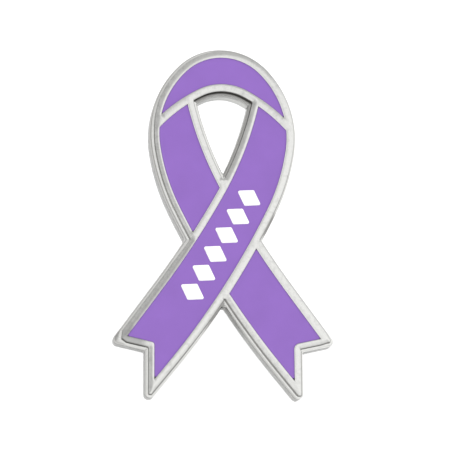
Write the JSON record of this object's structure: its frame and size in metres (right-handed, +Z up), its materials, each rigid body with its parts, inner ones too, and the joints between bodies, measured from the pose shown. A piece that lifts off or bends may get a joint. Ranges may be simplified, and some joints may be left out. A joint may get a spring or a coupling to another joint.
{
  "type": "awareness ribbon pin",
  "caption": "Looped ribbon lapel pin: struck metal with raised rims, flat violet enamel in its cells, a row of white lozenges and a pointed post behind.",
  "frame": {"origin": "on the surface that the pin rests on, under the middle of its box", "axes": "+Z up, -Y towards the two tails, +X to the right seen from the front; the pin leans back on its post, so its face looks up and towards -Y"},
  "size_m": [0.0194, 0.029, 0.0162],
  "materials": {
    "plated_metal": "satin silver-coloured plating",
    "violet_enamel": "smooth opaque enamel",
    "white_ink": "printed ink",
    "post_metal": "plated wire"
  },
  "bodies": {
    "root": {"struck_base": "plated_metal", "arch_enamel": "violet_enamel", "left_band_enamel": "violet_enamel", "front_band_enamel": "violet_enamel", "right_tail_enamel": "violet_enamel", "white_lozenge_1": "white_ink", "white_lozenge_2": "white_ink", "white_lozenge_3": "white_ink", "white_lozenge_4": "white_ink", "white_lozenge_5": "white_ink", "white_lozenge_6": "white_ink", "pin_post": "post_metal"}
  },
  "joints": []
}
